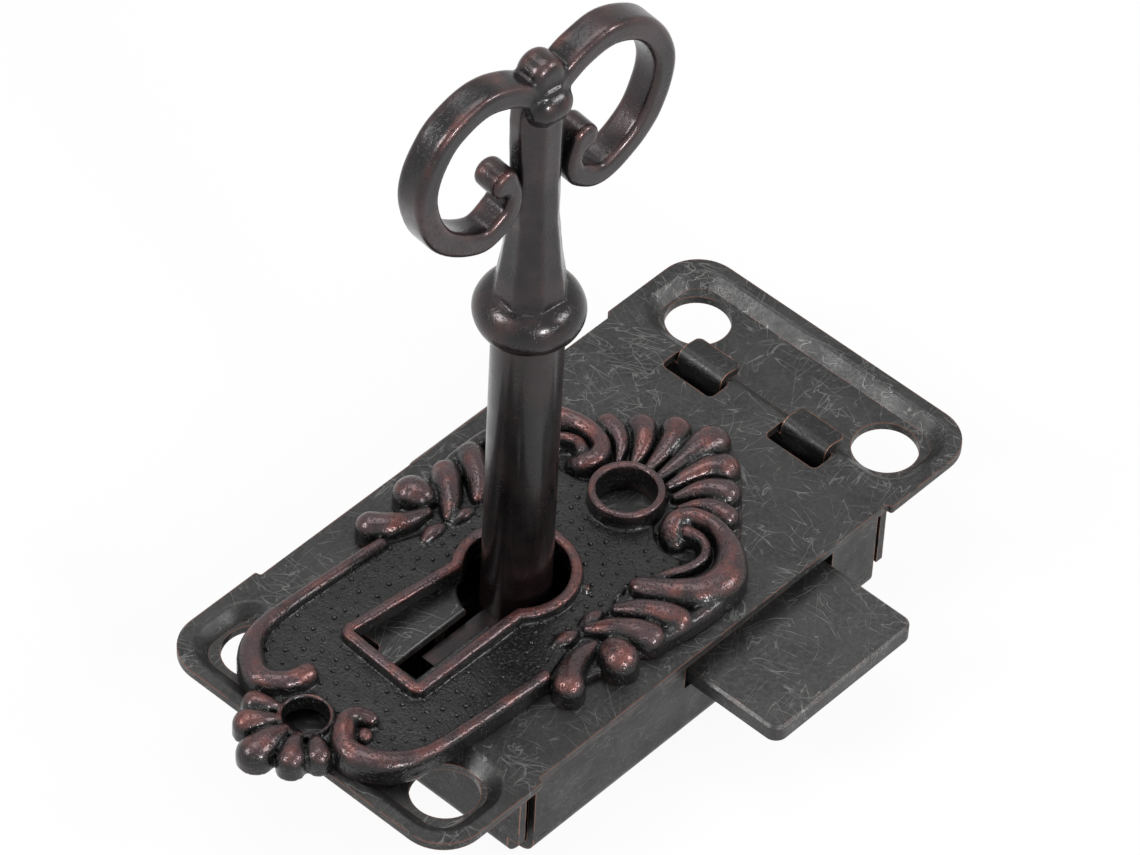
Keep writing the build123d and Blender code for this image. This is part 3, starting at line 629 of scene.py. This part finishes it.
def escutcheon_field():
    """The whole escutcheon as a distance field: one side, mirrored, and what the two sides don't share."""
    casting = Casting(ESCUTCHEON_LOW, ESCUTCHEON_HIGH, ESCUTCHEON_STEP)
    add_body(casting)
    for lobe in NEAR_LOBES + FAR_LOBES + RIBS + BEADS:
        casting.ridge(lobe, LOBE_FILLET)
    for course in (INNER_RIDGE, NEAR_CORNER, SHELL_RIM, SCROLL, SHOULDER, BUD):
        casting.ridge(course, COURSE_FILLET)
    add_rims_and_holes(casting)
    casting.mirror(1)
    for course in CURL_ENDS:
        casting.ridge(course, CURL_FILLET)
    casting.roughen(depth=0.035, size=1.4, seed=5)
    whole, x, y, z = casting.grid()
    lump_x, lump_y, lump_radius = MOULD_LUMP
    lump = np.sqrt((x - lump_x)**2 + (y - lump_y)**2 + (z - FIELD_TOP)**2) - lump_radius
    casting.join(whole, lump, BODY_FILLET)
    finish_back(casting)
    return casting


def make_escutcheon():
    """The whole escutcheon, turned as it lies on the plate."""
    vertices, quads = escutcheon_field().skin()
    piece = new_piece("escutcheon_casting", laid(vertices, ESCUTCHEON_TURN), quads)
    thin_flat_side(piece.data, 0)
    thin_flat_side(piece.data, RECESS_DEPTH)
    note_relief(piece.data)
    shade_smooth(piece.data)
    piece.data.materials.append(cast_bronze)
    return piece


# Stipple on the escutcheon's field: its level part, how close and dense the domes lie, and one dome's form
LEVEL_SLOPE = 0.99
LEVEL_NEAR = 0.05
STIPPLE_SPACING = 1.2
STIPPLE_PER_SQUARE_METRE = 5e6
STIPPLE_SEED = 3
DOME_RADIUS = 0.22
DOME_SEGMENTS = 8
DOME_RINGS = 5
DOME_SMALLEST = 0.7
DOME_LARGEST = 1.25


def add_node(tree, kind, **inputs):
    """A geometry node with its inputs set or linked, by the sockets' names with _ for a space."""
    node = tree.nodes.new(kind)
    for name, value in inputs.items():
        socket = node.inputs[name.replace("_", " ")]
        if isinstance(value, bpy.types.NodeSocket):
            tree.links.new(value, socket)
        else:
            socket.default_value = value
    return node


def stipple_tree():
    """Geometry nodes that strew small domes, evenly but at random, over a surface."""
    tree = bpy.data.node_groups.new("stipple", "GeometryNodeTree")
    tree.interface.new_socket("Ground", in_out="INPUT", socket_type="NodeSocketGeometry")
    for name in ("Spacing", "Dome Radius"):
        tree.interface.new_socket(name, in_out="INPUT", socket_type="NodeSocketFloat")
    tree.interface.new_socket("Seed", in_out="INPUT", socket_type="NodeSocketInt")
    tree.interface.new_socket("Finish", in_out="INPUT", socket_type="NodeSocketMaterial")
    tree.interface.new_socket("Domes", in_out="OUTPUT", socket_type="NodeSocketGeometry")
    given = tree.nodes.new("NodeGroupInput").outputs
    strewn = tree.nodes.new("GeometryNodeDistributePointsOnFaces")
    strewn.distribute_method = "POISSON"
    tree.links.new(given["Ground"], strewn.inputs["Mesh"])
    tree.links.new(given["Spacing"], strewn.inputs["Distance Min"])
    tree.links.new(given["Seed"], strewn.inputs["Seed"])
    strewn.inputs["Density Max"].default_value = STIPPLE_PER_SQUARE_METRE
    dome = add_node(tree, "GeometryNodeMeshUVSphere", Radius=given["Dome Radius"], Segments=DOME_SEGMENTS,
                    Rings=DOME_RINGS)
    size = tree.nodes.new("FunctionNodeRandomValue")
    size.data_type = "FLOAT"
    size.inputs[2].default_value = DOME_SMALLEST
    size.inputs[3].default_value = DOME_LARGEST
    tree.links.new(given["Seed"], size.inputs["Seed"])
    domes = add_node(tree, "GeometryNodeInstanceOnPoints", Points=strewn.outputs["Points"],
                     Instance=dome.outputs["Mesh"], Scale=size.outputs[1])
    real = add_node(tree, "GeometryNodeRealizeInstances", Geometry=domes.outputs["Instances"])
    smooth = add_node(tree, "GeometryNodeSetShadeSmooth", Geometry=real.outputs["Geometry"])
    finished = add_node(tree, "GeometryNodeSetMaterial", Geometry=smooth.outputs["Geometry"],
                        Material=given["Finish"])
    add_node(tree, "NodeGroupOutput", Domes=finished.outputs["Geometry"])
    return tree


def make_stipple(casting):
    """The fine raised dots that cover the escutcheon's sunk field, half sunk in it."""
    mesh = casting.data
    ground = [face for face in mesh.polygons
              if face.normal.z > LEVEL_SLOPE and abs(face.center.z - FIELD_TOP * MM) < LEVEL_NEAR * MM]
    places = [mesh.vertices[corner].co / MM for face in ground for corner in face.vertices]
    corners = np.arange(len(places)).reshape(-1, 4)
    piece = new_piece("escutcheon_stipple", places, corners)
    tree = stipple_tree()
    modifier = piece.modifiers.new("stipple", "NODES")
    modifier.node_group = tree
    values = {"Spacing": STIPPLE_SPACING * MM, "Dome Radius": DOME_RADIUS * MM, "Seed": STIPPLE_SEED,
              "Finish": cast_bronze}
    for item in tree.interface.items_tree:
        if item.in_out == "INPUT" and item.name in values:
            modifier[item.identifier] = values[item.name]
    bpy.context.view_layer.update()
    shaped = piece.evaluated_get(bpy.context.evaluated_depsgraph_get())
    piece.data = bpy.data.meshes.new_from_object(shaped)
    piece.modifiers.remove(modifier)
    return piece


escutcheon = make_escutcheon()
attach(escutcheon, "escutcheon")
stipple = make_stipple(escutcheon)
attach(stipple, "escutcheon")
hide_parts("escutcheon")


# Key, in its own frame: s along the bow, w across it, z up. Its head is cast and its shank is turned
KEY_STEP = 0.17
KEY_LOW = (-MARGIN * KEY_STEP, -5.3, 31.6)
KEY_HIGH = (15.2, 5.3, 65.2)
SHANK_TOP = 33.6
COLLAR_Z = 34.8
COLLAR_CENTRE_RADIUS = 2.4
COLLAR_ROLL = 2.5

# The stem's rows are z and two half widths. Its facets cut more off the corners as their reach gets less
STEM = [(32.4, 3.15, 3.15), (36.0, 3.12, 3.12), (38.0, 3.0, 3.0), (41.0, 2.6, 2.6), (45.5, 2.2, 2.15),
        (50.0, 2.25, 1.95), (54.0, 2.45, 1.98), (57.5, 2.6, 2.0), (61.2, 2.4, 1.9)]
STEM_BOTTOM = COLLAR_Z - 1
STEM_TOP = 61.3
STEM_ROUNDING = 0.12
FACET_HEIGHTS = (38, 57)
FACET_REACHES = (1.42, 1.35)

# The bow scroll's rows are s, z and half width, and the eye of its curl is s, z and radius
BOW_SCROLL = [(1.2, 60.6, 1.15), (3.9, 62.3, 1.15), (7.3, 62.9, 1.15), (11.1, 60.8, 1.15),
              (13.05, 56.1, 1.15), (11.3, 50.6, 1.15), (7.0, 47.6, 1.15), (4.3, 48.5, 1.1),
              (3.35, 50.2, 0.95), (4.4, 52.7, 1.4)]
CURL_EYE = (5.0, 50.7, 0.85)
SCROLL_DEPTH_HALF = 1.55
SCROLL_EDGE = 0.6
BEAD_Z = 59.3
BEAD_HALF_LENGTH = 0.45
BEAD_OUT = 1.0
BEAD_RADIUS = 1.8
FINIAL_Z = 62.1
FINIAL_RADIUS = 1.8
FINIAL_EDGE = 0.95

# Fillets where the forms of the head meet
STEM_FILLET = 0.02
BOW_FILLET = 0.25
BEAD_FILLET = 0.35


def course_distance(x, y, points):
    """Signed distance in the plane to a band along a smooth course of x, y and half width."""
    course = smooth_course(points)
    nearest = np.full(np.broadcast(x, y).shape, EMPTY_DISTANCE)
    for start, end in zip(course, course[1:]):
        along, across = line_distance(x, y, start[:2], end[:2])
        nearest = np.minimum(nearest, across - start[2] - along * (end[2] - start[2]))
    return nearest


def key_stem(s, w, z):
    """Signed distance to the tapered stem, whose four corners are cut off as facets."""
    heights, half_s, half_w = np.array(STEM).T
    half_s, half_w = np.interp(z, heights, half_s), np.interp(z, heights, half_w)
    facet = np.abs(s) / half_s + np.abs(w) / half_w - np.interp(z, FACET_HEIGHTS, FACET_REACHES)
    facet = facet * half_s * half_w / np.hypot(half_s, half_w)
    stem = rounded(rounded(np.abs(s) - half_s, np.abs(w) - half_w, STEM_ROUNDING), facet, STEM_ROUNDING)
    return np.maximum(stem, np.maximum(z - STEM_TOP, STEM_BOTTOM - z))


def key_head_field():
    """The key's collar, stem and bow as a distance field."""
    casting = Casting(KEY_LOW, KEY_HIGH, KEY_STEP)
    whole, s, w, z = casting.grid()
    collar = np.hypot(np.hypot(s, w) - COLLAR_CENTRE_RADIUS, z - COLLAR_Z) - COLLAR_ROLL
    casting.join(whole, collar, STEM_FILLET)
    casting.join(whole, key_stem(s, w, z), STEM_FILLET)
    eye_s, eye_z, eye_radius = CURL_EYE
    band = np.maximum(course_distance(s, z, BOW_SCROLL), eye_radius - np.hypot(s - eye_s, z - eye_z))
    casting.join(whole, rounded(band, np.abs(w) - SCROLL_DEPTH_HALF, SCROLL_EDGE), BOW_FILLET)
    finial = rounded(np.hypot(s, z - FINIAL_Z) - FINIAL_RADIUS, np.abs(w) - SCROLL_DEPTH_HALF, FINIAL_EDGE)
    casting.join(whole, finial, BEAD_FILLET)
    along = np.maximum(np.abs(s) - BEAD_HALF_LENGTH, 0)
    bead = np.sqrt(along**2 + (np.abs(w) - BEAD_OUT)**2 + (z - BEAD_Z)**2) - BEAD_RADIUS
    casting.join(whole, bead, BEAD_FILLET)
    casting.mirror(0)
    casting.roughen(depth=0.03, size=1.8, seed=8)
    return casting


def make_key_head():
    """The cast head, turned as the bow stands."""
    vertices, quads = key_head_field().skin()
    head = new_piece("key_casting", laid(vertices, BOW_TURN), quads)
    note_relief(head.data)
    shade_smooth(head.data)
    return head


def make_key_shank():
    """The turned shank and its bit, cut from the CAD's key below the collar."""
    shank = bpy.data.objects.new("key_shank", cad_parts["key"].data.copy())
    bpy.context.scene.collection.objects.link(shank)
    work = bmesh.new()
    work.from_mesh(shank.data)
    bmesh.ops.remove_doubles(work, verts=work.verts, dist=TOUCHING * MM)
    everything = work.verts[:] + work.edges[:] + work.faces[:]
    bmesh.ops.bisect_plane(work, geom=everything, plane_co=(0, 0, SHANK_TOP * MM), plane_no=(0, 0, 1),
                           clear_outer=True)
    bmesh.ops.holes_fill(work, edges=[edge for edge in work.edges if edge.is_boundary])
    work.to_mesh(shank.data)
    work.free()
    shade_smooth_by_angle(shank.data)
    return shank


def make_key():
    """The key's head and shank as one piece, the shank in a darker copy of the head's finish that paints in
    shade.
    """
    head = make_key_head()
    shank = make_key_shank()
    for piece, finish in ((head, key_bronze), (shank, shaded_barrel_bronze)):
        piece.data.materials.clear()
        piece.data.materials.append(finish)
    with bpy.context.temp_override(active_object=head, object=head, selected_objects=[head, shank],
                                   selected_editable_objects=[head, shank]):
        bpy.ops.object.join()
    return head


key = make_key()
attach(key, "key")
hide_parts("key")


# Camera: the photograph's own view of the lock
CAMERA_AZIMUTH = -49.339
CAMERA_ELEVATION = 46.067
CAMERA_ROLL = 3.122
CAMERA_DISTANCE = 612.65
CAMERA_SIDEWAYS = -0.545
CAMERA_UPWARDS = 9.945
IMAGE_WIDTH = 1140
FOCAL_PIXELS = 6908.1
SENSOR_WIDTH = 36.0


def add_camera():
    """Place the camera where the plate's edges and holes say that the photograph was taken from."""
    azimuth, elevation, roll = map(math.radians, (CAMERA_AZIMUTH, CAMERA_ELEVATION, CAMERA_ROLL))
    back = Vector((math.sin(azimuth) * math.cos(elevation), -math.cos(azimuth) * math.cos(elevation),
                   math.sin(elevation)))
    level = Vector((0, 0, 1)).cross(back).normalized()
    upright = back.cross(level)
    right = math.cos(roll) * level + math.sin(roll) * upright
    up = math.cos(roll) * upright - math.sin(roll) * level
    data = bpy.data.cameras.new("photo_camera")
    data.sensor_width = SENSOR_WIDTH
    data.lens = FOCAL_PIXELS / IMAGE_WIDTH * SENSOR_WIDTH
    data.clip_start = 0.01
    data.clip_end = 10
    camera = bpy.data.objects.new("photo_camera", data)
    place = (right * CAMERA_SIDEWAYS + up * CAMERA_UPWARDS + back * CAMERA_DISTANCE) * MM
    camera.matrix_world = Matrix.Translation(place) @ Matrix((right, up, back)).transposed().to_4x4()
    bpy.context.scene.collection.objects.link(camera)
    bpy.context.scene.camera = camera


# Studio: each lamp is its name, place, what it faces and its size, in metres, and its power in watts
LAMPS = [("lamp_left", (-0.50, 0.25, 0.45), (0, 0, 0.01), 0.22, 2.4),
         ("lamp_right", (0.30, -0.45, 0.40), (0, 0, 0.01), 0.20, 1.8),
         ("lamp_above", (0.05, 0.15, 0.70), (0, 0, 0), 0.45, 1.9),
         ("lamp_front", (-0.20, -0.60, 0.28), (0, 0, 0.01), 0.10, 2.6)]
SOFT_COLOUR = (0.9, 0.95, 1.0, 1)
SOFT_STRENGTH = 0.24
FLOOR_REACH = 1.5
PAPER_COLOUR = (0.8, 0.8, 0.8, 1)
PAPER_GLOW = 0.93


def add_lamp(name, place, aim, size, power):
    """A square soft lamp at one place, facing another."""
    data = bpy.data.lights.new(name, "AREA")
    data.shape = "SQUARE"
    data.size = size
    data.energy = power
    lamp = bpy.data.objects.new(name, data)
    lamp.location = place
    lamp.rotation_euler = (Vector(aim) - Vector(place)).to_track_quat("-Z", "Y").to_euler()
    bpy.context.scene.collection.objects.link(lamp)


def seen_directly(tree):
    """1 for what the camera sees, straight or mirrored in metal, and 0 for light that falls on the object."""
    path = tree.nodes.new("ShaderNodeLightPath")
    total = path.outputs["Is Camera Ray"]
    for kind in ("Is Glossy Ray", "Is Transmission Ray"):
        either = tree.nodes.new("ShaderNodeMath")
        either.operation = "MAXIMUM"
        tree.links.new(total, either.inputs[0])
        tree.links.new(path.outputs[kind], either.inputs[1])
        total = either.outputs[0]
    return total


def mix_by_ray(tree, share, lighting, seen, output):
    """End a shader tree in one node for the light it gives, and by a share in another for what is seen."""
    mix = tree.nodes.new("ShaderNodeMixShader")
    tree.links.new(share, mix.inputs["Fac"])
    tree.links.new(lighting.outputs[0], mix.inputs[1])
    tree.links.new(seen.outputs[0], mix.inputs[2])
    tree.links.new(mix.outputs[0], tree.nodes.new(output).inputs["Surface"])


def add_surroundings():
    """White surroundings for the camera, and a plain soft light for the object."""
    world = bpy.data.worlds.new("studio")
    bpy.context.scene.world = world
    world.use_nodes = True
    tree = world.node_tree
    tree.nodes.clear()
    soft = tree.nodes.new("ShaderNodeBackground")
    soft.inputs["Color"].default_value = SOFT_COLOUR
    soft.inputs["Strength"].default_value = SOFT_STRENGTH
    white = tree.nodes.new("ShaderNodeBackground")
    mix_by_ray(tree, seen_directly(tree), soft, white, "ShaderNodeOutputWorld")


def floor_paper():
    """White paper that takes the object's shadow and is otherwise as bright as the surroundings."""
    material = bpy.data.materials.new("floor_paper")
    material.use_nodes = True
    tree = material.node_tree
    tree.nodes.clear()
    paper = tree.nodes.new("ShaderNodeBsdfDiffuse")
    paper.inputs["Color"].default_value = PAPER_COLOUR
    glow = tree.nodes.new("ShaderNodeEmission")
    share = tree.nodes.new("ShaderNodeMath")
    share.operation = "MULTIPLY"
    share.inputs[1].default_value = PAPER_GLOW
    tree.links.new(seen_directly(tree), share.inputs[0])
    mix_by_ray(tree, share.outputs[0], paper, glow, "ShaderNodeOutputMaterial")
    return material


def add_floor():
    """A wide level floor under the lock."""
    mesh = bpy.data.meshes.new("floor")
    corners = [(-FLOOR_REACH, -FLOOR_REACH), (FLOOR_REACH, -FLOOR_REACH), (FLOOR_REACH, FLOOR_REACH),
               (-FLOOR_REACH, FLOOR_REACH)]
    mesh.from_pydata([(x, y, FLOOR_Z * MM) for x, y in corners], [], [(0, 1, 2, 3)])
    mesh.materials.append(floor_paper())
    floor = bpy.data.objects.new("floor", mesh)
    bpy.context.scene.collection.objects.link(floor)


bpy.context.scene.view_settings.view_transform = "Standard"
add_camera()
add_surroundings()
for lamp_values in LAMPS:
    add_lamp(*lamp_values)
add_floor()
